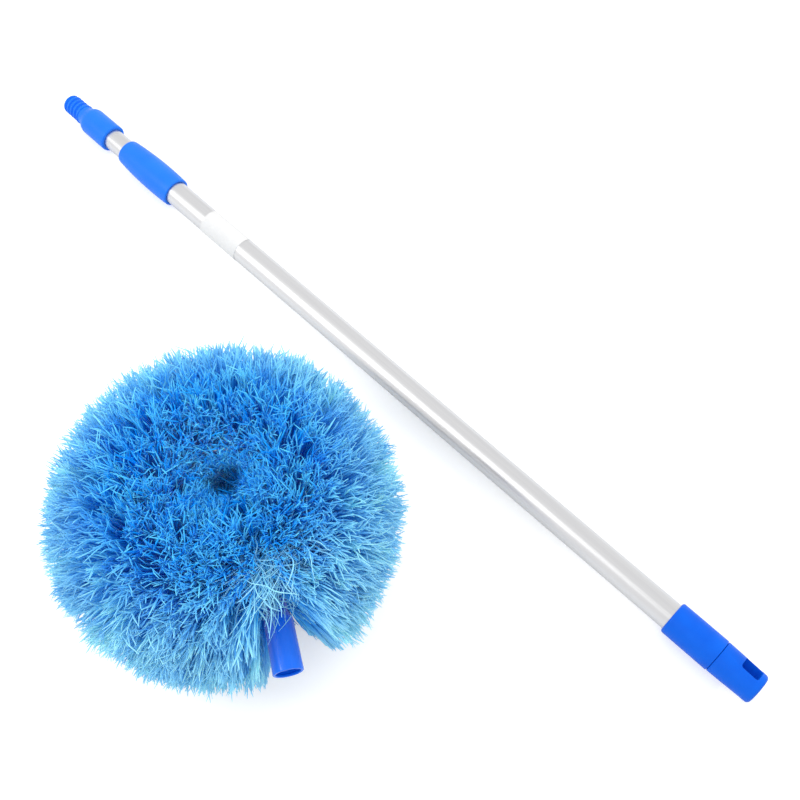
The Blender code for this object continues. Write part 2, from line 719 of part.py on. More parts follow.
def pole_lower(pole, blue, aluminium, paper):
    """What stays put: outer tube, collar, label, grip and end plug."""
    outer = tube_outline(OUTER_TUBE_LENGTH, OUTER_TUBE_RADIUS, TUBE_WALL)
    placed("outer_tube", turned("outer_tube", outer), pole, aluminium, OUTER_TUBE_START)
    placed("collar", turned("collar", collar_outline()), pole, blue, COLLAR_START)
    label = turned("wrap_label", label_outline(), sweep=LABEL_WRAP, start=LABEL_EDGE_TURN)
    placed("wrap_label", label, pole, paper, LABEL_START)
    placed("grip_sleeve", turned("grip_sleeve", grip_outline()), pole, blue, GRIP_START)
    placed("end_plug", turned("end_plug", end_plug_outline()), pole, blue, PLUG_START)


def hang_cap(pole, blue):
    """End cap with the slot that it hangs by, turning about the pole's axis."""
    cap = placed("hang_cap", turned("hang_cap", hang_cap_outline()), pole, blue, CAP_START)
    slot = block("hang_slot", (SLOT_LENGTH, GRIP_DIAMETER + CUT_OVERRUN, SLOT_WIDTH), SLOT_CORNER)
    middle = CAP_LENGTH - SLOT_FROM_END - SLOT_LENGTH / 2
    cut(cap, slot, place=(middle, 0, 0), turn=SLOT_TURN)


def head_socket(stem, blue):
    """Socket and stem, with two holes in the stem's end for the wire."""
    socket = placed("head_socket", turned("head_socket", head_socket_outline()), stem, blue)
    seat_start = STEM_LENGTH - WIRE_SEAT_DEPTH - WIRE_RADIUS
    seat_end = STEM_LENGTH + CUT_OVERRUN
    for side in (-1, 1):
        across = side * WIRE_ENDS_APART / 2
        seat = tube_mesh(f"wire_seat_{side}", [(seat_start, across, 0), (seat_end, across, 0)],
                         channel_radius(SEAT_BEVEL_RESOLUTION), SEAT_BEVEL_RESOLUTION)
        cut(socket, seat)


def wire_loop(head, steel):
    """Two wires twisted together and bent into a loop, their ends seated in the stem."""
    for letter, phase in (("a", 0), ("b", math.pi)):
        name = f"wire_strand_{letter}"
        wire = tube_curve(name, strand_route(phase), WIRE_RADIUS, WIRE_BEVEL_RESOLUTION)
        placed(name, wire, head, steel)


def bristle_ring(head, filament):
    """The fanned bristles, parted in a notch at the stem, and hollow for the stem and the wire."""
    whole = turned("bristle_ring", bristle_outline(), upright=True, steps=BRISTLE_ROUND_STEPS)
    ring = placed("bristle_ring", whole, head, filament)
    notch = wedge(
        "stem_notch", STEM_END_ALONG - STEM_COVERED, -HEAD_RADIUS - CUT_OVERRUN,
        NOTCH_END_WIDTH, NOTCH_MOUTH_WIDTH,
        -HEAD_HEIGHT - CUT_OVERRUN, BRISTLE_LENGTH + CUT_OVERRUN,
    )
    cut(ring, notch, place=(0, STEM_SIDE, 0))
    bore = turned("stem_bore", stem_bore_outline(), start=FULL_TURN / ROUND_STEPS / 2)
    cut(ring, bore, place=(STEM_END_ALONG, STEM_SIDE, 0))
    cut(ring, channel_mesh())


def main():
    clear_scene()
    blue = finish("blue_moulding", (0.022, 0.205, 0.93), 0.35)
    aluminium = finish("aluminium", (0.80, 0.80, 0.81), 0.30, metallic=1.0)
    paper = finish("label_paper", (0.88, 0.88, 0.87), 0.70)
    steel = finish("galvanised_wire", (0.55, 0.56, 0.58), 0.40, metallic=1.0)
    filament = finish("blue_filament", (0.030, 0.290, 0.850), 0.55)
    ring_plastic = finish("lock_ring_plastic", (0.75, 0.75, 0.72), 0.45)

    pole = guide("pole_axis", POLE_PLACE)
    pole_upper(pole, blue, aluminium)
    lock_ring(pole, ring_plastic)
    pole_lower(pole, blue, aluminium, paper)
    hang_cap(pole, blue)

    # The head's plan runs from the mouth inwards, against the mouth's heading
    head = guide("head_plan", HEAD_PLACE, STEM_TURN + math.pi)
    stem = guide("stem_axis", (MOUTH_ALONG, STEM_SIDE, 0))
    stem.parent = head
    head_socket(stem, blue)
    wire_loop(head, steel)
    bristle_ring(head, filament)


main()
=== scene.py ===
"""Looks of the round ceiling duster, built round its CAD frame.

Metres, +Z up, in the frame of the CAD: the pole lies along X with its threaded tip towards -X,
and the head lies on the -Y side of it.
"""

import math

import bmesh
import bpy
import numpy as np
from mathutils import Matrix, Vector


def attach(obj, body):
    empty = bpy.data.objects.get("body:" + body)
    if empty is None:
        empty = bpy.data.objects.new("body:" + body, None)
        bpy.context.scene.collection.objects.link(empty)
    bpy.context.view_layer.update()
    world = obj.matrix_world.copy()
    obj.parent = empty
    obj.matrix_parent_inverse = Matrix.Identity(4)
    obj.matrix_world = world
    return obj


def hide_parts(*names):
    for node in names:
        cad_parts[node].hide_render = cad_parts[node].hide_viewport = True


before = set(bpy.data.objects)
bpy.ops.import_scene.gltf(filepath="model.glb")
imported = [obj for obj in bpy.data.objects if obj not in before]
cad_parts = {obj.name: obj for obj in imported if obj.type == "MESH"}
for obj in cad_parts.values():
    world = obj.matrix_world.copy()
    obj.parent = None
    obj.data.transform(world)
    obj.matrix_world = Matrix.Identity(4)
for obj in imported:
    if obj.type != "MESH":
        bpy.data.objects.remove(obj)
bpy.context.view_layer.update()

SEED = 7
FULL_TURN = math.tau
MM = 0.001

# Camera, worked out from the perspective of the pole and the head in the photograph
CAMERA_PLACE = (0.36865, -0.16566, 0.88)
CAMERA_RIGHT = (0.71624, 0.69785, 0.0)
CAMERA_DOWN = math.radians(62.7)
CAMERA_ROLL = math.radians(0.13)
CAMERA_LENS = 47.6
SENSOR_WIDTH = 36.0

# The pole, as in the CAD: its axis, and places along it from the tip
POLE_PLACE = (-0.44805, 0.1655, 0.016)
THREAD_LENGTH = 0.0255
THREAD_PITCH = 0.0052
THREAD_CREST = 0.0104
THREAD_ROOT = 0.0083
THREAD_PHASE = 0.0010
THREAD_LEAD_IN = 0.0016
THREAD_RUN_OUT = 0.0012
THREAD_FADE = 0.0024
TIP_NOSE = 0.0046
TIP_FACE_INSET = 0.002
TIP_SHOULDER = 0.0009
NECK_RADIUS = 0.0100
NECK_END = 0.0265
FERRULE_START = 0.040
FERRULE_END = 0.0731
FERRULE_TOP = 0.0144
FERRULE_RIM = 0.0145
FERRULE_POCKET = 0.0431
FERRULE_ROUNDING = 0.0015
CORE_INSET = 0.006
CORE_WALL = 0.0024
INNER_TUBE_START = 0.0434
INNER_TUBE_END = 0.78995
INNER_TUBE_RADIUS = 0.011
OUTER_TUBE_START = 0.1122
OUTER_TUBE_END = 0.85395
OUTER_TUBE_RADIUS = 0.0125
TUBE_WALL = 0.0008
TUBE_EDGE = 0.00015
COLLAR_START = 0.0984
COLLAR_LENGTH = 0.0768
COLLAR_RADIUS = 0.0160
COLLAR_TOP = 0.01325
COLLAR_FOOT = 0.01515
COLLAR_WIDEST = 0.65
COLLAR_ROUNDING = 0.0010
COLLAR_LIP_LENGTH = 0.0135
LABEL_START = 0.2276
LABEL_LENGTH = 0.050
LABEL_OVER_TUBE = 0.0003
LABEL_THICKNESS = 0.0002
LABEL_EDGE = 0.00003
LABEL_WRAP = math.radians(215)
LABEL_EDGE_TURN = math.radians(40)
GRIP_START = 0.8089
GRIP_LENGTH = 0.04655
GRIP_RADIUS = 0.0152
GRIP_BORE_EDGE = 0.0004
GRIP_TOP_ROUNDING = 0.0022
GRIP_FOOT_ROUNDING = 0.0009
CAP_START = 0.85575
CAP_LENGTH = 0.04035
CAP_RADIUS = 0.0149
CAP_END_RADIUS = 0.01395
CAP_BORE_DEPTH = 0.0148
CAP_ROUNDING = 0.0008
CAP_END_ROUNDING = 0.0032
CAP_EDGE = 0.0005
SLOT_LENGTH = 0.0168
SLOT_WIDTH = 0.0170
SLOT_CORNER = 0.0022
SLOT_MIDDLE = 0.02595
SLOT_TURN = math.radians(50)
SLOT_CUT_DEPTH = 0.05
SPIGOT_BORE = 0.0088
GAP = 0.0003

# The head, as in the CAD: its plan has x from the mouth into the head
HEAD_PLACE = (0.04995, -0.0415, 0.078)
HEAD_TURN = math.radians(-32.4) + math.pi
LOOP_RADIUS = 0.057
STEM_SIDE = -0.0259
STEM_END_ALONG = -0.050776
STEM_LENGTH = 0.0876
STEM_COVERED = 0.034
SOCKET_LENGTH = 0.0405
SOCKET_RADIUS = 0.0120
SOCKET_TAPER = 0.0007
SOCKET_BORE = 0.01065
SOCKET_DEPTH = 0.027
SOCKET_SHOULDER_LENGTH = 0.008
SOCKET_THREAD_START = 0.003
SOCKET_THREAD_SPARE = 0.002
SOCKET_THREAD_HEIGHT = 0.0010
SOCKET_RIM_STEP = 0.0009
SOCKET_RIM_DEPTH = 0.0022
SOCKET_RIM_ROUNDING = 0.0006
STEM_ROUNDING = 0.0008
STEM_NECK_RADIUS = 0.0086
STEM_END_RADIUS = 0.0077
JOIN_TURN = math.radians(60)
LEAD_LENGTH = 0.024
FAN_BACK_TURN = math.radians(173)
WIRE_ENDS_APART = 0.0070
WIRE_SEAT_DEPTH = 0.020
WIRE_RADIUS = 0.0011
STRAND_OFFSET = 0.00125
TWIST_PITCH = 0.016
REACH = 0.083
HEAD_RADIUS = LOOP_RADIUS + REACH
HEAD_HEIGHT = HEAD_PLACE[2]

# The floor, lifted to white for the camera and a little of it for reflections
FLOOR_SIZE = 6
FLOOR_DROP = 0.0004
FLOOR_LIFT = 0.42
FLOOR_GLOSSY_SHARE = 0.3

ROUND_STEPS = 96
BRANCH_STEPS = 96
LOOP_STEPS = 600
SMOOTH_ANGLE = math.radians(32)


# Meshes

def arc(along, radius, size, start, end, steps=8):
    """Points of a round stretch about (along, radius), between two angles in degrees."""
    turns = [math.radians(start + (end - start) * step / steps) for step in range(steps + 1)]
    return [(along + size * math.cos(turn), radius + size * math.sin(turn)) for turn in turns]


def swell(start, end, steps):
    """Points of a smooth S from one (along, radius) to another."""
    points = []
    for step in range(steps + 1):
        share = step / steps
        rise = (1 - math.cos(math.pi * share)) / 2
        points.append(
            (start[0] + (end[0] - start[0]) * share, start[1] + (end[1] - start[1]) * rise)
        )
    return points


def shade(mesh):
    mesh.shade_smooth()
    mesh.set_sharp_from_angle(angle=SMOOTH_ANGLE)
    return mesh


def mesh_from(name, shape):
    bmesh.ops.remove_doubles(shape, verts=shape.verts, dist=1e-6)
    bmesh.ops.recalc_face_normals(shape, faces=shape.faces)
    mesh = bpy.data.meshes.new(name)
    shape.to_mesh(mesh)
    shape.free()
    return shade(mesh)


def turned(name, outline, sweep=FULL_TURN, start=0.0, steps=ROUND_STEPS, shaped=None):
    """Spins an outline of (along, radius) round X; shaped may change a point's radius."""
    solid = outline[0][1] == 0 and outline[-1][1] == 0
    closed = sweep >= FULL_TURN
    rings = steps if closed else steps + 1
    shape = bmesh.new()
    grid = []
    for ring in range(rings):
        turn = start + sweep * ring / steps
        row = []
        for along, radius in outline:
            size = shaped(along, radius, turn) if shaped else radius
            row.append(shape.verts.new((along, size * math.cos(turn), size * math.sin(turn))))
        grid.append(row)
    count = len(outline)
    spans = count - 1 if solid else count
    for ring in range(steps):
        here, there = grid[ring], grid[(ring + 1) % rings]
        for index in range(spans):
            after = (index + 1) % count
            shape.faces.new((here[index], here[after], there[after], there[index]))
    if not closed:
        shape.faces.new(grid[0])
        shape.faces.new(grid[-1][::-1])
    bmesh.ops.dissolve_degenerate(shape, dist=1e-7, edges=shape.edges)
    return mesh_from(name, shape)


def placed(name, data, body, material, place=POLE_PLACE, along=0.0, replaces=()):
    """Puts a piece in the scene, on its body, with its finish."""
    made = bpy.data.objects.new(name, data)
    made.matrix_world = Matrix.Translation(place) @ Matrix.Translation((along, 0, 0))
    data.materials.append(material)
    bpy.context.scene.collection.objects.link(made)
    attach(made, body)
    if replaces:
        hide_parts(*replaces)
    return made


# Materials

class Finish:
    """A Principled material that is built up from a few procedural nodes."""

    def __init__(self, name, roughness, metallic=0.0, **sockets):
        self.material = bpy.data.materials.new(name)
        self.material.use_nodes = True
        self.tree = self.material.node_tree
        self.shader = self.tree.nodes["Principled BSDF"]
        self.shader.inputs["Roughness"].default_value = roughness
        self.shader.inputs["Metallic"].default_value = metallic
        for socket, value in sockets.items():
            title = socket.replace("_", " ").title().replace("Ior", "IOR")
            self.shader.inputs[title].default_value = value
        self.where = self.node("ShaderNodeTexCoord").outputs["Object"]

    def node(self, kind, **settings):
        made = self.tree.nodes.new(kind)
        for name, value in settings.items():
            setattr(made, name, value)
        return made

    def join(self, output, socket):
        self.tree.links.new(output, socket)

    def noise(self, scale, stretch=(1, 1, 1), detail=3.0, rough=0.5):
        """Noise of the given scale per metre, stretched by dividing each axis."""
        fit = self.node("ShaderNodeMapping")
        fit.inputs["Scale"].default_value = [scale / part for part in stretch]
        self.join(self.where, fit.inputs["Vector"])
        made = self.node("ShaderNodeTexNoise")
        made.inputs["Scale"].default_value = 1.0
        made.inputs["Detail"].default_value = detail
        made.inputs["Roughness"].default_value = rough
        self.join(fit.outputs["Vector"], made.inputs["Vector"])
        return made.outputs["Fac"]

    def ramp(self, output, stops):
        made = self.node("ShaderNodeValToRGB")
        points = made.color_ramp.elements
        while len(points) < len(stops):
            points.new(0.5)
        for point, (place, colour) in zip(points, stops):
            point.position = place
            point.color = (*colour, 1) if len(colour) == 3 else colour
        self.join(output, made.inputs["Fac"])
        return made.outputs["Color"]

    def spread(self, output, low, high, source=(0.3, 0.7)):
        """Maps a noise onto a range of numbers."""
        made = self.node("ShaderNodeMapRange")
        for name, value in zip(("From Min", "From Max", "To Min", "To Max"), (*source, low, high)):
            made.inputs[name].default_value = value
        self.join(output, made.inputs["Value"])
        return made.outputs["Result"]

    def mix(self, kind, share, first, second):
        made = self.node("ShaderNodeMix", data_type="RGBA", blend_type=kind)
        made.inputs["Factor"].default_value = share
        colours = [item for item in made.inputs if item.type == "RGBA"]
        for output, target in zip((first, second), colours):
            self.join(output, target)
        return [item for item in made.outputs if item.type == "RGBA"][0]

    def colour(self, output):
        self.join(output, self.shader.inputs["Base Color"])

    def roughness(self, output):
        self.join(output, self.shader.inputs["Roughness"])

    def bumps(self, *layers):
        """Bump layers of (height output, strength, distance)."""
        normal = None
        for height, strength, distance in layers:
            made = self.node("ShaderNodeBump")
            made.inputs["Strength"].default_value = strength
            made.inputs["Distance"].default_value = distance
            self.join(height, made.inputs["Height"])
            if normal:
                self.join(normal, made.inputs["Normal"])
            normal = made.outputs["Normal"]
        self.join(normal, self.shader.inputs["Normal"])


def moulding_finish(name, dark, light, shine, low=0.32, high=0.44):
    """Moulded plastic: slight mottling, fine orange peel and faint scuffs along the piece."""
    made = Finish(name, roughness=(low + high) / 2, specular_ior_level=shine)
    mottle = made.noise(42, detail=4)
    peel = made.noise(950, detail=2)
    scuffs = made.noise(900, stretch=(14, 1, 1), detail=5, rough=0.65)
    made.colour(made.ramp(mottle, [(0.30, dark), (0.70, light)]))
    made.roughness(made.spread(scuffs, low, high))
    made.bumps((peel, 0.10, 0.00008), (scuffs, 0.05, 0.00005))
    return made.material


def aluminium_finish():
    """Drawn tube: long fine grain with a few brighter and duller streaks."""
    made = Finish("aluminium", roughness=0.3, metallic=1.0)
    grain = made.noise(1300, stretch=(260, 1, 1), detail=6, rough=0.7)
    streaks = made.noise(260, stretch=(90, 1, 1), detail=3)
    made.colour(made.mix(
        "MULTIPLY", 1.0,
        made.ramp(grain, [(0.30, (0.67, 0.67, 0.68)), (0.70, (0.75, 0.75, 0.755))]),
        made.ramp(streaks, [(0.35, (0.95, 0.95, 0.955)), (0.65, (1.0, 1.0, 1.0))]),
    ))
    made.roughness(made.spread(grain, 0.28, 0.38))
    made.bumps((grain, 0.07, 0.00008))
    return made.material


def paper_finish():
    made = Finish("label_paper", roughness=0.62)
    fibre = made.noise(1500, stretch=(3, 1, 1), detail=5, rough=0.7)
    clouds = made.noise(120, detail=2)
    made.colour(made.mix(
        "MULTIPLY", 1.0,
        made.ramp(fibre, [(0.30, (0.68, 0.68, 0.68)), (0.70, (0.76, 0.76, 0.755))]),
        made.ramp(clouds, [(0.35, (0.97, 0.97, 0.97)), (0.65, (1.0, 1.0, 1.0))]),
    ))
    made.roughness(made.spread(fibre, 0.55, 0.70))
    made.bumps((fibre, 0.12, 0.00006))
    return made.material


def steel_finish():
    """Galvanised wire, with the dull spangle of zinc."""
    made = Finish("galvanised_wire", roughness=0.4, metallic=1.0)
    spangle = made.noise(700, detail=4, rough=0.7)
    made.colour(made.ramp(spangle, [(0.30, (0.44, 0.45, 0.47)), (0.70, (0.66, 0.67, 0.69))]))
    made.roughness(made.spread(spangle, 0.30, 0.52))
    made.bumps((spangle, 0.15, 0.00006))
    return made.material


def natural_finish():
    made = Finish("lock_ring_plastic", roughness=0.45)
    clouds = made.noise(220, detail=4)
    made.colour(made.ramp(clouds, [(0.30, (0.68, 0.68, 0.64)), (0.70, (0.78, 0.78, 0.75))]))
    made.roughness(made.spread(clouds, 0.38, 0.52))
    made.bumps((clouds, 0.10, 0.00008))
    return made.material


def filament_finish():
    """Flagged filament: each strand's colour with its painted shade and light, and fine flecks of
    variation.
    """
    made = Finish("blue_filament", roughness=0.5, specular_ior_level=0.03)
    own = made.node("ShaderNodeAttribute", attribute_name="strand_colour").outputs["Color"]
    fleck = made.noise(900, detail=3)
    made.colour(made.mix(
        "MULTIPLY", 1.0, own,
        made.ramp(fleck, [(0.30, (0.86, 0.92, 0.96)), (0.70, (1.0, 1.0, 1.0))]),
    ))
    made.roughness(made.spread(fleck, 0.42, 0.58))
    return made.material


# Pole

def thread_height(share):
    """Height of a coarse rounded ridge, 0 to 1, over one pitch."""
    return min(1.0, max(0.0, 0.46 + 0.78 * math.cos(FULL_TURN * share)))


def tip_shape(along, radius, turn):
    """Turns the plain spigot of the outline into a right-hand thread."""
    if along <= 0 or along >= THREAD_LENGTH or radius < THREAD_CREST / 2:
        return radius
    fade_in = min(1.0, max(0.0, (along - THREAD_LEAD_IN) / THREAD_FADE))
    fade_out = min(1.0, max(0.0, (THREAD_LENGTH - THREAD_RUN_OUT - along) / THREAD_FADE))
    ridge = thread_height((along - THREAD_PHASE) / THREAD_PITCH - turn / FULL_TURN)
    deep = (1 - ridge) * fade_in * fade_out
    return radius - (THREAD_CREST - THREAD_ROOT) * deep


def tip_outline():
    nose = TIP_NOSE
    outline = [(0, 0), (0, THREAD_CREST - nose - TIP_FACE_INSET)]
    outline += arc(nose, THREAD_CREST - nose, nose, 180, 90, 16)[1:]
    steps = 90
    first = outline[-1][0]
    last = THREAD_LENGTH - TIP_SHOULDER
    outline += [
        (first + (last - first) * step / steps, THREAD_CREST) for step in range(1, steps + 1)
    ]
    outline += arc(last, NECK_RADIUS, TIP_SHOULDER, 90, 0, 5)[1:]
    outline += swell((NECK_END, NECK_RADIUS), (FERRULE_START, FERRULE_TOP), 24)
    rim = FERRULE_ROUNDING
    outline += arc(FERRULE_END - rim, FERRULE_RIM - rim, rim, 90, 0)
    outline += [(FERRULE_END, INNER_TUBE_RADIUS + GAP), (FERRULE_POCKET, INNER_TUBE_RADIUS + GAP)]
    core = INNER_TUBE_RADIUS - TUBE_WALL - GAP
    core_end = FERRULE_END - CORE_INSET
    core_floor = FERRULE_POCKET + CORE_WALL
    outline += [(FERRULE_POCKET, core), (core_end, core), (core_end, core - CORE_WALL)]
    outline += [(core_floor, core - CORE_WALL), (core_floor, 0)]
    return outline


def tube_outline(length, radius, wall=TUBE_WALL, edge=TUBE_EDGE):
    """A tube with its end edges slightly broken."""
    return [
        (edge, radius - wall), (0, radius - wall + edge), (0, radius - edge), (edge, radius),
        (length - edge, radius), (length, radius - edge), (length, radius - wall + edge),
        (length - edge, radius - wall),
    ]


def collar_radius_at(along):
    widest = COLLAR_LENGTH * COLLAR_WIDEST
    if along < widest:
        return COLLAR_RADIUS - (COLLAR_RADIUS - COLLAR_TOP) * (1 - along / widest) ** 2
    share = (along - widest) / (COLLAR_LENGTH - widest)
    return COLLAR_RADIUS - (COLLAR_RADIUS - COLLAR_FOOT) * share**2


def collar_outline():
    lip = INNER_TUBE_RADIUS + GAP
    seat = OUTER_TUBE_RADIUS + GAP
    edge, steps = COLLAR_ROUNDING, 40
    outline = [(0, lip)]
    outline += arc(edge, COLLAR_TOP - edge, edge, 180, 110)
    reach = COLLAR_LENGTH - 3 * edge
    for step in range(steps):
        along = 2 * edge + reach * step / steps
        outline.append((along, collar_radius_at(along)))
    outline += arc(COLLAR_LENGTH - edge, COLLAR_FOOT - edge, edge, 90, 0)
    outline += [(COLLAR_LENGTH, seat), (COLLAR_LIP_LENGTH, seat), (COLLAR_LIP_LENGTH, lip)]
    return outline


def grip_outline():
    bore = OUTER_TUBE_RADIUS + GAP
    top, foot = GRIP_TOP_ROUNDING, GRIP_FOOT_ROUNDING
    outline = [(GRIP_BORE_EDGE, bore), (0, bore + GRIP_BORE_EDGE)]
    outline += arc(top, GRIP_RADIUS - top, top, 180, 90)
    outline += arc(GRIP_LENGTH - foot, GRIP_RADIUS - foot, foot, 90, 0, 6)
    outline += [(GRIP_LENGTH, bore)]
    return outline


def cap_outline():
    top, end = CAP_ROUNDING, CAP_END_ROUNDING
    outline = [(CAP_BORE_DEPTH, 0), (CAP_BORE_DEPTH, SPIGOT_BORE), (0, SPIGOT_BORE)]
    outline += arc(top, CAP_RADIUS - top, top, 180, 90, 6)
    outline += arc(CAP_LENGTH - end, CAP_END_RADIUS - end, end, 90, 0, 12)
    outline += [(CAP_LENGTH, 0)]
    return outline


def slot_cutter():
    """The block of the slot, with its two corners of each side rounded."""
    shape = bmesh.new()
    bmesh.ops.create_cube(shape, size=1)
    bmesh.ops.scale(shape, vec=(SLOT_LENGTH, SLOT_CUT_DEPTH, SLOT_WIDTH), verts=shape.verts)
    through = [
        edge for edge in shape.edges
        if abs(edge.verts[0].co.y - edge.verts[1].co.y) > SLOT_CUT_DEPTH / 2
    ]
    bmesh.ops.bevel(
        shape, geom=through, offset=SLOT_CORNER, segments=8, profile=0.5, affect="EDGES"
    )
    return mesh_from("slot_cutter", shape)


def hang_cap(material):
    body = turned("hang_cap_body", cap_outline())
    holder = bpy.data.objects.new("cap_holder", body)
    cutter = bpy.data.objects.new("cap_cutter", slot_cutter())
    cutter.matrix_world = (
        Matrix.Translation((SLOT_MIDDLE, 0, 0)) @ Matrix.Rotation(SLOT_TURN, 4, "X")
    )
    for obj in (holder, cutter):
        bpy.context.scene.collection.objects.link(obj)
    step = holder.modifiers.new("slot", "BOOLEAN")
    step.operation = "DIFFERENCE"
    step.solver = "EXACT"
    step.object = cutter
    edge = holder.modifiers.new("edge", "BEVEL")
    edge.limit_method = "ANGLE"
    edge.angle_limit = math.radians(50)
    edge.width = CAP_EDGE
    edge.segments = 2
    bpy.context.view_layer.update()
    graph = bpy.context.evaluated_depsgraph_get()
    mesh = bpy.data.meshes.new_from_object(holder.evaluated_get(graph))
    for obj in (holder, cutter):
        bpy.data.objects.remove(obj)
    mesh.name = "hanging_cap"
    shade(mesh)
    return placed("hanging_cap", mesh, "cap", material,
                  along=CAP_START, replaces=["hang_cap"])


def pole(blue, deep_blue, aluminium, paper):
    placed("threaded_spigot", turned("threaded_spigot", tip_outline(), shaped=tip_shape),
           "inner_section", blue, replaces=["threaded_tip"])
    inner = tube_outline(INNER_TUBE_END - INNER_TUBE_START, INNER_TUBE_RADIUS)
    placed("slim_tube", turned("slim_tube", inner), "inner_section", aluminium,
           along=INNER_TUBE_START, replaces=["inner_tube"])
    outer = tube_outline(OUTER_TUBE_END - OUTER_TUBE_START, OUTER_TUBE_RADIUS)
    placed("main_tube", turned("main_tube", outer), "outer_section", aluminium,
           along=OUTER_TUBE_START, replaces=["outer_tube"])
    placed("barrel_collar", turned("barrel_collar", collar_outline()), "outer_section",
           blue, along=COLLAR_START, replaces=["collar"])
    label = tube_outline(
        LABEL_LENGTH, OUTER_TUBE_RADIUS + LABEL_OVER_TUBE, LABEL_THICKNESS, LABEL_EDGE
    )
    placed("tube_label", turned("tube_label", label, LABEL_WRAP, LABEL_EDGE_TURN),
           "outer_section", paper, along=LABEL_START, replaces=["wrap_label"])
    placed("hand_grip", turned("hand_grip", grip_outline()), "outer_section",
           deep_blue, along=GRIP_START, replaces=["grip_sleeve"])


# Head

HEAD_MATRIX = Matrix.Rotation(HEAD_TURN, 4, "Z")


def on_head(name, mesh, material, replaces):
    """Puts a piece that is built in the head's plan in the scene, turned in its own mesh."""
    mesh.transform(HEAD_MATRIX)
    return placed(name, mesh, "outer_section", material, place=HEAD_PLACE, replaces=replaces)


def socket_shape(along, radius, turn):
    """Cuts the coarse inner thread into the bore, between its two end reliefs."""
    begin, spare = SOCKET_THREAD_START, SOCKET_THREAD_SPARE
    if radius != SOCKET_BORE or not begin < along < SOCKET_DEPTH - spare:
        return radius
    fade = min(1.0, (along - begin) / spare, (SOCKET_DEPTH - spare - along) / spare)
    ridge = thread_height(along / THREAD_PITCH + turn / FULL_TURN)
    return radius - SOCKET_THREAD_HEIGHT * fade * ridge


def socket_outline():
    bore, depth, mouth, end = SOCKET_BORE, SOCKET_DEPTH, SOCKET_RADIUS, STEM_END_RADIUS
    steps = 80
    rim = bore - SOCKET_RIM_STEP
    inner, outer = SOCKET_RIM_ROUNDING, STEM_ROUNDING
    outline = [(depth, 0), (depth, bore)]
    outline += [
        (depth - (depth - SOCKET_RIM_DEPTH) * step / steps, bore) for step in range(1, steps)
    ]
    outline += [(3 * inner, rim)]
    outline += arc(inner, rim + inner, inner, 270, 180)
    outline += arc(outer, mouth - outer, outer, 180, 90)
    outline += swell((SOCKET_LENGTH, mouth - SOCKET_TAPER),
                     (SOCKET_LENGTH + SOCKET_SHOULDER_LENGTH, STEM_NECK_RADIUS), 20)
    outline += arc(STEM_LENGTH - outer, end - outer, outer, 90, 0)
    outline += [(STEM_LENGTH, 0)]
    return outline


def bezier(start, start_handle, end_handle, end, share):
    rest = 1 - share
    weights = (rest**3, 3 * rest**2 * share, 3 * rest * share**2, share**3)
    ends = (start, start_handle, end_handle, end)
    return tuple(sum(w * p[axis] for w, p in zip(weights, ends)) for axis in range(2))


def branch(side, turn):
    across = STEM_SIDE + side * WIRE_ENDS_APART / 2
    leaves = (STEM_END_ALONG, across)
    meets = (-LOOP_RADIUS * math.cos(turn), LOOP_RADIUS * math.sin(turn))
    heading = (side * math.sin(turn), side * math.cos(turn))
    handles = (
        (leaves[0] + LEAD_LENGTH, leaves[1]),
        (meets[0] - LEAD_LENGTH * heading[0], meets[1] - LEAD_LENGTH * heading[1]),
    )
    steps = BRANCH_STEPS
    return [bezier(leaves, *handles, meets, step / steps) for step in range(steps + 1)]


def loop_route():
    """The wire's middle line in the head's plan, from the stem round and back to it.

    Also the heading of an outward strand at each point: square to the round part, and leaning
    back along the stem towards the two ends, as the fans do on either side of the notch.
    """
    stem_turn = math.asin(STEM_SIDE / LOOP_RADIUS)
    left, right = stem_turn + JOIN_TURN, stem_turn - JOIN_TURN
    back = FAN_BACK_TURN
    points, headings = [], []
    for index, point in enumerate(branch(1, left)):
        points.append(point)
        headings.append(back + (math.pi - left - back) * index / BRANCH_STEPS)
    span = FULL_TURN - 2 * JOIN_TURN
    for step in range(1, LOOP_STEPS):
        turn = left + span * step / LOOP_STEPS
        points.append((-LOOP_RADIUS * math.cos(turn), LOOP_RADIUS * math.sin(turn)))
        headings.append(math.pi - turn)
    joined = math.pi - (left + span)
    for index, point in enumerate(branch(-1, right)[::-1]):
        points.append(point)
        headings.append(joined + (-back - joined) * index / BRANCH_STEPS)
    return np.array(points), np.array(headings)


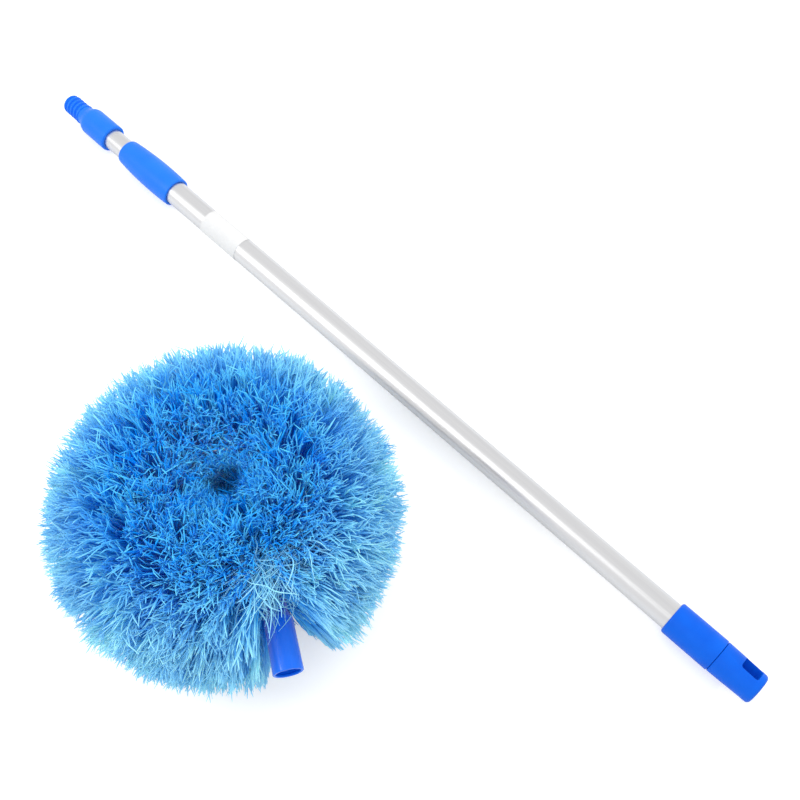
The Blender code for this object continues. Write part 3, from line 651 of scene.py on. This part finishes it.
def wire_strands(steel):
    """Two wires twisted together, both ends seated in the stem."""
    points, _ = loop_route()
    seat = np.array([[STEM_END_ALONG - WIRE_SEAT_DEPTH, points[0][1]]])
    end_seat = np.array([[STEM_END_ALONG - WIRE_SEAT_DEPTH, points[-1][1]]])
    points = np.vstack([seat, points, end_seat])
    steps = np.linalg.norm(np.diff(points, axis=0), axis=1)
    reach = np.concatenate([[0], np.cumsum(steps)])
    along = np.linspace(0, reach[-1], int(reach[-1] / (TWIST_PITCH / 16)))
    middle = np.stack([np.interp(along, reach, points[:, axis]) for axis in range(2)], axis=1)
    heading = np.gradient(middle, axis=0)
    heading /= np.linalg.norm(heading, axis=1)[:, None]
    for letter, phase in (("a", 0.0), ("b", math.pi)):
        turn = FULL_TURN * along / TWIST_PITCH + phase
        sideways = STRAND_OFFSET * np.cos(turn)
        route = np.stack([
            middle[:, 0] - heading[:, 1] * sideways,
            middle[:, 1] + heading[:, 0] * sideways,
            STRAND_OFFSET * np.sin(turn),
        ], axis=1)
        curve = bpy.data.curves.new("wire", "CURVE")
        curve.dimensions = "3D"
        curve.bevel_depth = WIRE_RADIUS
        curve.bevel_resolution = 3
        curve.use_fill_caps = True
        spline = curve.splines.new("POLY")
        spline.points.add(len(route) - 1)
        spline.points.foreach_set("co", np.hstack([route, np.ones((len(route), 1))]).ravel())
        bar = bpy.data.objects.new("wire", curve)
        mesh = bpy.data.meshes.new_from_object(bar)
        bpy.data.objects.remove(bar)
        mesh.shade_smooth()
        on_head(f"twisted_wire_{letter}", mesh, steel,
                [f"wire_strand_{letter}"])


# Bristles

RING_SHARES = np.array([0.0, 0.46, 0.74, 0.88, 0.94, 1.0])
# Across and thick, as shares of a strand's width
STRAND_SECTION = ((0.5, -0.12), (-0.5, -0.12), (0.0, 0.26))
SIDES = len(STRAND_SECTION)
GUIDES = 4800
STRANDS_PER_GUIDE = 9.2
PIECES = 8
TABLE_CLEARANCE = 0.0007
SETTLING = 0.016
STEM_CLEARANCE = 0.0100
NOTCH_HALF_WIDTH = 0.0110
NOTCH_SPREAD_LEFT = 0.16
NOTCH_SPREAD_RIGHT = 0.66
CRIMP = 0.00055
FRAY_START = 0.62
FRAY_SPREAD = 0.0028
CURL_START = 0.88
CURL_SPREAD = 0.0046
# The hollow of the crown in the plan, a little to one side of the loop's middle
HOLLOW = np.array([-0.003, -0.011])
# Distances between which the painted shade of the hollow fades out and the painted light of the
# rim comes in
HOLLOW_SHADE_BAND = (0.007, 0.015)
RIM_LIGHT_BAND = (0.070, 0.146)
# Distances from the wire's ends between which the extra filament there fades out
FULLER_BAND = (0.020, 0.065)
GOLDEN_SHARE = 0.6180339887
LOW_LOCKS = 48
HIGH_LOCKS = 52
STRANDS_PER_LOCK = 5

# Filament colours: the first is painted shade for the roots and the hollow, the last is painted
# light round the rim
DEEP_SHADE = np.array([0.000, 0.29, 1.00])
MIDDLE = np.array([0.006, 0.45, 1.00])
LIGHT = np.array([0.14, 0.65, 1.00])
PALE = np.array([0.42, 0.82, 1.00])


def smooth(value, low, high):
    share = np.clip((value - low) / (high - low), 0, 1)
    return share * share * (3 - 2 * share)


def unit(vectors):
    return vectors / np.maximum(np.linalg.norm(vectors, axis=-1, keepdims=True), 1e-9)


def strand_paths(start, azimuth, lean, length, bend, rng):
    """Polylines of strands that leave the wire and stay off the table and out of the hollow.

    start is in the plan, azimuth the heading in the plan, lean the angle from that heading
    towards +Z, and bend a slow turn of the heading in space.
    """
    steps = 24
    count = len(start)
    inward = np.cos(lean) < 0
    place = np.column_stack([start, np.zeros(count)])
    to_middle = unit(HOLLOW - start)
    swing = azimuth - np.arctan2(start[:, 1], start[:, 0])
    middle_angle = np.arctan2(to_middle[:, 1], to_middle[:, 0]) + np.where(inward, 0.35 * swing, 0)
    flat = np.where(
        inward[:, None],
        np.column_stack([np.cos(middle_angle), np.sin(middle_angle)]),
        np.column_stack([np.cos(azimuth), np.sin(azimuth)]),
    )
    side = np.column_stack([-flat[:, 1], flat[:, 0]])
    along = np.abs(np.cos(lean))
    up = np.sin(lean)
    nearest = rng.uniform(0.0065, 0.0115, count)
    ground = -HEAD_HEIGHT + TABLE_CLEARANCE + rng.uniform(0, 0.006, count)
    path = [place.copy()]
    for step in range(steps):
        share = (step + 1) / steps
        across = bend[:, 0] * share
        lift = bend[:, 1] * share
        level = np.arctan2(up, along) + lift
        run = np.cos(level)
        rise = np.sin(level)
        distance = np.linalg.norm(place[:, :2] - HOLLOW, axis=1)
        limit = np.clip((distance - nearest) / SETTLING, 0, 1)
        run = np.where(inward, run * limit, run)
        rise = np.where(inward, np.sign(rise) * np.sqrt(np.maximum(0, 1 - run**2)), rise)
        low = np.clip((place[:, 2] - ground) / SETTLING, 0, 1)
        settled = rise * low
        spare = np.sqrt(np.maximum(0, 1 - settled**2))
        run = np.where((rise < 0) & ~inward, spare, run)
        rise = np.where(rise < 0, settled, rise)
        heading = flat * (run * np.cos(across))[:, None] + side * (run * np.sin(across))[:, None]
        place = place + np.column_stack([heading, rise]) * (length / steps)[:, None]
        path.append(place.copy())
    return np.stack(path, axis=1)


def resampled(path, shares):
    """The paths again at the given shares of their steps."""
    steps = path.shape[1] - 1
    spot = np.clip(np.asarray(shares) * steps, 0, steps - 1e-6)
    index = spot.astype(int)
    part = (spot - index)[None, :, None]
    return path[:, index] * (1 - part) + path[:, index + 1] * part


def kept_clear(path, side):
    """Parts the strands at the notch, and bends them round the stem where it is covered."""
    off = path[..., 1] - STEM_SIDE
    height = path[..., 2]
    beside = smooth(STEM_END_ALONG - path[..., 0], 0, 0.012)
    away = np.hypot(off, height)
    pushed = np.sqrt(away**2 + (STEM_CLEARANCE * beside) ** 2) / np.maximum(away, 1e-6)
    off = off * pushed
    path[..., 2] = height * pushed
    behind = path[..., 0] < STEM_END_ALONG
    enters = np.argmax(behind, axis=1)
    first = off[np.arange(len(off)), enters]
    sign = np.where(np.abs(first) > 0.002, np.sign(first), side)[:, None]
    out = STEM_END_ALONG - STEM_COVERED - path[..., 0]
    widens = np.where(sign > 0, NOTCH_SPREAD_LEFT, NOTCH_SPREAD_RIGHT)
    half = (NOTCH_HALF_WIDTH + widens * np.maximum(out, 0)) * smooth(out, -0.014, 0.008)
    path[..., 1] = STEM_SIDE + np.where(behind, sign * np.sqrt(off**2 + half**2), off)
    return path


def frayed(path, own_spread, rng):
    """Spreads the ends of a tuft's strands, as flagged filament splays, and crimps them."""
    count, steps, _ = path.shape
    shares = np.linspace(0, 1, steps)
    tangent = unit(path[:, -1] - path[:, int(steps * FRAY_START)])
    side = unit(np.cross(tangent, unit(rng.normal(size=(count, 3)))))
    over = np.cross(tangent, side)
    for begin, spread, power in ((FRAY_START, FRAY_SPREAD, 1.5), (CURL_START, CURL_SPREAD, 1.4)):
        ramp = np.clip((shares - begin) / (1 - begin), 0, 1) ** power
        amount = np.abs(rng.normal(0, spread, count)) * own_spread
        path = path + side[:, None, :] * (amount[:, None] * ramp[None, :])[..., None]
        turn = rng.normal(0, 0.9, count)[:, None]
        side = side * np.cos(turn) + over * np.sin(turn)
        over = np.cross(tangent, side)
    phase = rng.uniform(0, FULL_TURN, (count, 2))
    turns = rng.uniform(16, 26, count)
    crimp = CRIMP * smooth(shares, 0.15, 0.8)
    for direction, start in ((side, phase[:, 0]), (over, phase[:, 1])):
        wave = np.sin(start[:, None] + turns[:, None] * shares[None, :]) * crimp[None, :]
        path = path + direction[:, None, :] * wave[..., None]
    return path


def strand_mesh(name, path, width, colour, roll, rng):
    """Closed, flattened three-sided filaments along the paths, most of them lying flat side up."""
    count, rings, _ = path.shape
    tangent = unit(np.gradient(path, axis=1))
    reference = unit(np.array([0, 0, 1]) + rng.normal(0, 0.22, size=(count, 1, 3)))
    side = unit(np.cross(reference, tangent))
    over = np.cross(tangent, side)
    turn = roll[:, None] + np.linspace(0, 1, rings)[None, :] * rng.normal(0, 0.3, (count, 1))
    across = side * np.cos(turn)[..., None] + over * np.sin(turn)[..., None]
    thick = np.cross(tangent, across)
    points = np.stack([
        path + across * (width * a)[..., None] + thick * (width * b)[..., None]
        for a, b in STRAND_SECTION
    ], axis=2)
    points = points.reshape(-1, 3)
    base = np.arange(count)[:, None, None] * rings * SIDES
    ring = np.arange(rings - 1)[None, :, None] * SIDES
    corner = np.arange(SIDES)[None, None, :]
    after = (corner + 1) % SIDES
    quads = np.stack([
        base + ring + corner, base + ring + after,
        base + ring + SIDES + after, base + ring + SIDES + corner,
    ], axis=-1).reshape(-1, 4)
    first = np.arange(count)[:, None] * rings * SIDES
    ends = np.vstack([
        first + np.array([[2, 1, 0]]),
        first + (rings - 1) * SIDES + np.array([[0, 1, 2]]),
    ])
    mesh = bpy.data.meshes.new(name)
    mesh.vertices.add(len(points))
    mesh.vertices.foreach_set("co", points.astype(np.float32).ravel())
    loops = np.concatenate([quads.ravel(), ends.ravel()])
    sizes = np.concatenate([np.full(len(quads), 4), np.full(len(ends), 3)])
    starts = np.concatenate([[0], np.cumsum(sizes)[:-1]])
    mesh.loops.add(len(loops))
    mesh.loops.foreach_set("vertex_index", loops.astype(np.int32))
    mesh.polygons.add(len(sizes))
    mesh.polygons.foreach_set("loop_start", starts.astype(np.int32))
    mesh.update(calc_edges=True)
    mesh.shade_flat()
    paint = mesh.color_attributes.new("strand_colour", "FLOAT_COLOR", "POINT")
    shades = np.repeat(colour[:, :, None, :], SIDES, axis=2).reshape(-1, 3)
    paint.data.foreach_set(
        "color", np.hstack([shades, np.ones((len(shades), 1))]).astype(np.float32).ravel()
    )
    mesh.validate()
    return mesh


def strand_colours(path, shares, tone):
    """Root to tip: painted shade deep inside, brighter outside, palest with painted light at the
    rim.

    The middle of the hollow stays dark with painted shade; a tuft's tone moves its red and green
    most.
    """
    outward = np.hypot(path[..., 0], path[..., 1])
    share = np.broadcast_to(shares[None, :], outward.shape)
    # Painted shade: the colour darkens in the hollow of the crown, where little light reaches
    hollow = 1 - smooth(np.linalg.norm(path[..., :2] - HOLLOW, axis=-1), *HOLLOW_SHADE_BAND)
    inner = smooth(share, 0.35, 0.85) * (1 - hollow)
    tip = smooth(share + tone[:, None] * 0.10, 0.80, 1.04) * (1 - hollow)
    # Painted light: round the rim of the head the strands are made lighter and palest, as if lit
    # through their thin ends
    rim = smooth(outward, *RIM_LIGHT_BAND)
    # Painted shade: the roots are darker, as deep in the pile
    colour = DEEP_SHADE + (MIDDLE - DEEP_SHADE) * inner[..., None]
    colour = colour + (LIGHT - colour) * (tip * (0.70 + 0.30 * rim))[..., None]
    colour = colour + (LIGHT - colour) * (0.55 * rim * inner)[..., None]
    colour = colour + (PALE - colour) * (0.85 * rim * smooth(share, 0.62, 1.0))[..., None]
    lift = 1 + np.array([0.20, 0.12, 0.03]) * tone[:, None, None]
    # Painted shade: the hollow is darkened to under a third of its colour
    return np.clip(colour * (lift * (1 - 0.72 * hollow)[..., None]), 0, 1)


def strand_lengths(start, heading, azimuth, lean, own_length, rng):
    """Lengths that reach the round rim at the wire's level and the same distance elsewhere."""
    count = len(lean)
    outline = np.cos(heading) * start[:, 0] + np.sin(heading) * start[:, 1]
    to_rim = -outline + np.sqrt(outline**2 + HEAD_RADIUS**2 - (start**2).sum(1))
    level = np.maximum(0, np.cos(lean)) ** 2
    length = (REACH + (to_rim - REACH) * level) * (1.015 + 0.035 * level)

    # Some strands are short, and a few stand out
    short = rng.uniform(0, 1, count)
    length = length * own_length * rng.normal(1.0, 0.016, count)
    length = length * np.where(short < 0.15, rng.uniform(0.84, 0.96, count), 1.0)
    length = length * np.where(short > 0.975, rng.uniform(1.01, 1.04, count), 1.0)

    # Both fans are shorter beside the stem, and so are the strands that fill the hollow
    from_stem = math.pi - np.abs(azimuth)
    length = length * np.where(
        azimuth < 0,
        1 - 0.15 * np.exp(-((from_stem / 0.55) ** 2)),
        1 - 0.07 * np.exp(-((from_stem / 0.95) ** 2)),
    )
    length = length * (1 - 0.30 * smooth(-np.cos(lean), 0.60, 0.95))
    over_stem = np.exp(-((from_stem / 0.30) ** 2)) * (np.sin(lean) > 0)
    trimmed = rng.uniform(0, 1, count) < over_stem
    return length * np.where(trimmed, rng.uniform(0.5, 0.8, count), 1)


def bristles(filament):
    """The fans of filament all round the wire, in tufts that share a heading, length and tone."""
    rng = np.random.default_rng(SEED)
    points, headings = loop_route()
    steps = np.linalg.norm(np.diff(points, axis=0), axis=1)
    reach = np.concatenate([[0], np.cumsum(steps)])

    # The wire carries more filament near the stem, where the two fans have more room to fill
    index = np.arange(GUIDES)
    spots = np.linspace(0, reach[-1], 2000)
    from_end = np.minimum(spots, reach[-1] - spots)
    share = np.cumsum(1 + 0.9 * (1 - smooth(from_end, *FULLER_BAND)))
    guide_along = np.interp((index + 0.5) / GUIDES, share / share[-1], spots)
    guide_lean = (index * GOLDEN_SHARE) % 1.0 * FULL_TURN - math.pi
    guide_lean += rng.normal(0, 0.04, GUIDES)
    guide_swing = rng.normal(0, 0.10, GUIDES)
    guide_length = rng.normal(1.008, 0.022, GUIDES)
    guide_bend = rng.normal(0, 0.22, (GUIDES, 2))
    guide_spread = rng.uniform(0.55, 1.35, GUIDES)
    guide_tone = rng.normal(0, 0.9, GUIDES)

    size = rng.poisson(STRANDS_PER_GUIDE, GUIDES)
    own = np.repeat(index, size)
    count = len(own)
    along = np.clip(guide_along[own] + rng.normal(0, 0.0010, count), 0.0005, reach[-1] - 0.0005)
    start = np.column_stack([np.interp(along, reach, points[:, axis]) for axis in range(2)])
    heading = np.interp(along, reach, headings)
    azimuth = heading + guide_swing[own] + rng.normal(0, 0.022, count)
    lean = guide_lean[own] + rng.normal(0, 0.022, count)
    length = strand_lengths(start, heading, azimuth, lean, guide_length[own], rng)
    bend = guide_bend[own] + rng.normal(0, 0.06, (count, 2))
    tone = guide_tone[own] + rng.normal(0, 0.35, count)

    path = strand_paths(start, azimuth, lean, length, bend, rng)
    side = np.where(along < reach[-1] / 2, 1.0, -1.0)
    path = frayed(path, guide_spread[own], rng)
    path = kept_clear(path, side)
    path = resampled(path, RING_SHARES)
    path[..., 2] = np.maximum(path[..., 2], -HEAD_HEIGHT + TABLE_CLEARANCE)

    thick = rng.uniform(0.85, 1.30, count)
    profile = np.array([0.45, 1.00, 1.10, 1.15, 1.05, 0.40]) * MM
    width = thick[:, None] * profile[None, :]
    colour = strand_colours(path, RING_SHARES, tone)
    roll = rng.normal(0, 0.3, count)

    order = np.argsort(along, kind="stable")
    for number, chosen in enumerate(np.array_split(order, PIECES), start=1):
        mesh = strand_mesh(
            f"bristle_fan_{number}", path[chosen], width[chosen], colour[chosen], roll[chosen], rng
        )
        fan = on_head(f"bristle_fan_{number}", mesh, filament, ["bristle_ring"])
        fan.visible_glossy = False


def stray_strands(filament):
    """Long curly strands from the wire's ends that lie over the stem and the socket."""
    rng = np.random.default_rng(SEED + 1)
    # Locks low over the stem, and wisps that start higher up and lie out over the two fans
    locks = LOW_LOCKS + HIGH_LOCKS
    shares = np.linspace(0, 1, 17)
    count = locks * STRANDS_PER_LOCK
    is_high = np.arange(locks) >= LOW_LOCKS
    lock_start = np.column_stack([
        rng.uniform(STEM_END_ALONG - 0.002, STEM_END_ALONG + 0.022, locks),
        STEM_SIDE + rng.uniform(-0.010, 0.010, locks),
        np.where(is_high, rng.uniform(0.026, 0.052, locks), 0.0035),
    ])
    lock_heading = math.pi + np.where(
        is_high, rng.uniform(-0.9, 1.35, locks), rng.uniform(-0.75, 0.75, locks)
    )
    lock_rise = np.where(is_high, rng.uniform(0.25, 0.70, locks), rng.uniform(0.35, 1.05, locks))
    lock_length = rng.uniform(0.042, 0.076, locks)
    lock_curl = rng.normal(0, 1.2, locks)
    own = np.repeat(np.arange(locks), STRANDS_PER_LOCK)
    start = lock_start[own] + rng.normal(0, 0.0012, (count, 3)) * np.array([1, 1, 0])
    heading = lock_heading[own] + rng.normal(0, 0.20, count)
    rise = lock_rise[own] + rng.normal(0, 0.10, count)
    length = lock_length[own] * rng.uniform(0.70, 1.08, count)
    curl = lock_curl[own] + rng.normal(0, 1.3, count)
    fall = np.where(is_high[own], rng.uniform(0.5, 1.0, count), rng.uniform(0.9, 1.6, count))
    phase = rng.uniform(0, FULL_TURN, count)
    place = start
    steps = 48
    path = [place.copy()]
    for step in range(steps):
        share = (step + 0.5) / steps
        turn = heading + curl * share**1.5
        level = rise - (rise + 0.25) * np.minimum(1.0, fall * share)
        ahead = np.column_stack([np.cos(turn) * np.cos(level), np.sin(turn) * np.cos(level),
                                 np.sin(level)])
        place = place + ahead * (length / steps)[:, None]
        off = place[:, 1] - STEM_SIDE
        shoulder = STEM_END_ALONG - STEM_LENGTH + SOCKET_LENGTH + 0.006
        rest = np.where(place[:, 0] < shoulder, SOCKET_RADIUS + 0.0007, STEM_NECK_RADIUS + 0.0007)
        over = np.sqrt(np.maximum(0, rest**2 - off**2)) * (place[:, 0] < STEM_END_ALONG)
        place[:, 2] = np.maximum(place[:, 2], np.where(np.abs(off) < rest, over + 0.0004, -1))
        path.append(place.copy())
    path = resampled(np.stack(path, axis=1), shares)
    weave = np.sin(phase[:, None] + shares[None, :] * 11) * shares[None, :] * 0.0026
    path[..., 1] += weave
    path[..., 0] += np.cos(phase[:, None] + shares[None, :] * 13) * shares[None, :] * 0.0012
    width = rng.uniform(0.70, 1.15, count)[:, None] * MM * np.interp(
        shares, [0, 0.3, 0.8, 1], [0.5, 1.05, 0.95, 0.35])[None, :]
    tone = rng.normal(0.3, 0.6, count)
    colour = MIDDLE + (LIGHT - MIDDLE) * smooth(shares, 0.0, 0.45)[None, :, None]
    colour = colour + (PALE - colour) * (0.8 * smooth(shares, 0.25, 0.9))[None, :, None]
    colour = np.clip(colour * (1 + 0.10 * tone[:, None, None]), 0, 1)
    mesh = strand_mesh("stray_strands", path, width, np.broadcast_to(colour, (*path.shape,)),
                       rng.normal(0, 0.3, count), rng)
    on_head("stray_strands", mesh, filament, ["bristle_ring"])


def head(gloss_blue, steel, filament):
    stem_start = STEM_END_ALONG - STEM_LENGTH
    mesh = turned("socket_and_stem", socket_outline(), shaped=socket_shape)
    mesh.transform(Matrix.Translation((stem_start, STEM_SIDE, 0)))
    on_head("socket_and_stem", mesh, gloss_blue, ["head_socket"])
    wire_strands(steel)
    bristles(filament)
    stray_strands(filament)


# Studio

def area_lamp(name, place, aim, along, length, width, watts):
    """A soft box at place that faces aim, its length laid as nearly as it can be along a line."""
    data = bpy.data.lights.new(name, "AREA")
    data.shape = "RECTANGLE"
    data.size = length
    data.size_y = width
    data.energy = watts
    lamp = bpy.data.objects.new(name, data)
    back = (Vector(place) - Vector(aim)).normalized()
    long_side = (Vector(along) - back * back.dot(Vector(along))).normalized()
    turn = Matrix((long_side, back.cross(long_side), back)).transposed().to_4x4()
    lamp.matrix_world = Matrix.Translation(place) @ turn
    lamp.visible_camera = False
    bpy.context.scene.collection.objects.link(lamp)
    return lamp


def studio():
    scene = bpy.context.scene
    scene.view_settings.view_transform = "Standard"

    world = bpy.data.worlds.new("studio")
    world.use_nodes = True
    tree = world.node_tree
    sky = tree.nodes["Background"]
    sky.inputs["Color"].default_value = (1, 1, 1, 1)
    sky.inputs["Strength"].default_value = 1.0
    scene.world = world

    # A broad box behind the pole, a slanted one over it and a small one for the glints
    key = area_lamp("key", (0.05, 1.35, 1.25), (0.0, 0.05, 0.0), (1, 0, 0), 1.3, 1.1, 11)
    key.visible_glossy = False
    area_lamp("strip", (-0.65, -0.6905, 1.02), (-0.65, 0.1655, 0.016), (1.0, 0.54, 0.08),
              1.60, 0.65, 4.2)
    area_lamp("glint", (-0.46, -0.61, 0.87), (0.18, -0.09, 0.08), (0.84, -0.54, 0),
              0.5, 0.08, 2.2)


def maths(tree, operation, first, second):
    """A Math node of an output and either another output or a number."""
    made = tree.nodes.new("ShaderNodeMath")
    made.operation = operation
    tree.links.new(first, made.inputs[0])
    if isinstance(second, float):
        made.inputs[1].default_value = second
    else:
        tree.links.new(second, made.inputs[1])
    return made.outputs["Value"]


def floor_sheet():
    shape = bmesh.new()
    bmesh.ops.create_grid(shape, x_segments=8, y_segments=8, size=FLOOR_SIZE)
    mesh = bpy.data.meshes.new("floor")
    shape.to_mesh(mesh)
    shape.free()
    floor = bpy.data.objects.new("floor", mesh)
    floor.location = (0, 0, -FLOOR_DROP)
    bpy.context.scene.collection.objects.link(floor)

    made = bpy.data.materials.new("floor")
    made.use_nodes = True
    tree = made.node_tree
    shader = tree.nodes["Principled BSDF"]
    shader.inputs["Base Color"].default_value = (0.74, 0.75, 0.76, 1)
    shader.inputs["Roughness"].default_value = 0.9
    shader.inputs["Specular IOR Level"].default_value = 0.0
    glow = tree.nodes.new("ShaderNodeEmission")
    glow.inputs["Color"].default_value = (1, 1, 1, 1)
    rays = tree.nodes.new("ShaderNodeLightPath").outputs
    shine = maths(tree, "MULTIPLY", rays["Is Glossy Ray"], FLOOR_GLOSSY_SHARE)
    seen = maths(tree, "MAXIMUM", rays["Is Camera Ray"], shine)
    strength = maths(tree, "MULTIPLY", seen, FLOOR_LIFT)
    both = tree.nodes.new("ShaderNodeAddShader")
    for output, socket in (
        (strength, glow.inputs["Strength"]),
        (shader.outputs["BSDF"], both.inputs[0]),
        (glow.outputs["Emission"], both.inputs[1]),
        (both.outputs["Shader"], tree.nodes["Material Output"].inputs["Surface"]),
    ):
        tree.links.new(output, socket)
    mesh.materials.append(made)


def camera():
    right = Vector(CAMERA_RIGHT).normalized()
    level = Vector((-right.y, right.x, 0))
    forward = level * math.cos(CAMERA_DOWN) - Vector((0, 0, 1)) * math.sin(CAMERA_DOWN)
    up = right.cross(forward)
    right, up = (
        right * math.cos(CAMERA_ROLL) - up * math.sin(CAMERA_ROLL),
        up * math.cos(CAMERA_ROLL) + right * math.sin(CAMERA_ROLL),
    )
    data = bpy.data.cameras.new("camera")
    data.lens = CAMERA_LENS
    data.sensor_width = SENSOR_WIDTH
    made = bpy.data.objects.new("camera", data)
    turn = Matrix((right, up, -forward)).transposed().to_4x4()
    made.matrix_world = Matrix.Translation(CAMERA_PLACE) @ turn
    bpy.context.scene.collection.objects.link(made)
    bpy.context.scene.camera = made


def main():
    camera()
    studio()
    floor_sheet()
    blue = moulding_finish("blue_moulding", (0.004, 0.158, 0.80), (0.010, 0.180, 0.87), shine=0.25)
    deep_blue = moulding_finish("deep_blue_moulding", (0.000, 0.098, 0.66), (0.001, 0.125, 0.74),
                                shine=0.15)
    gloss_blue = moulding_finish("gloss_blue_moulding", (0.001, 0.145, 0.84), (0.004, 0.170, 0.92),
                                 low=0.16, high=0.26, shine=0.3)
    aluminium = aluminium_finish()
    steel = steel_finish()
    pole(blue, deep_blue, aluminium, paper_finish())
    hang_cap(deep_blue)
    head(gloss_blue, steel, filament_finish())
    for name, material in (
        ("lock_plug", blue), ("end_plug", blue), ("lock_ring", natural_finish()),
    ):
        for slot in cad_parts[name].material_slots:
            slot.material = material


main()
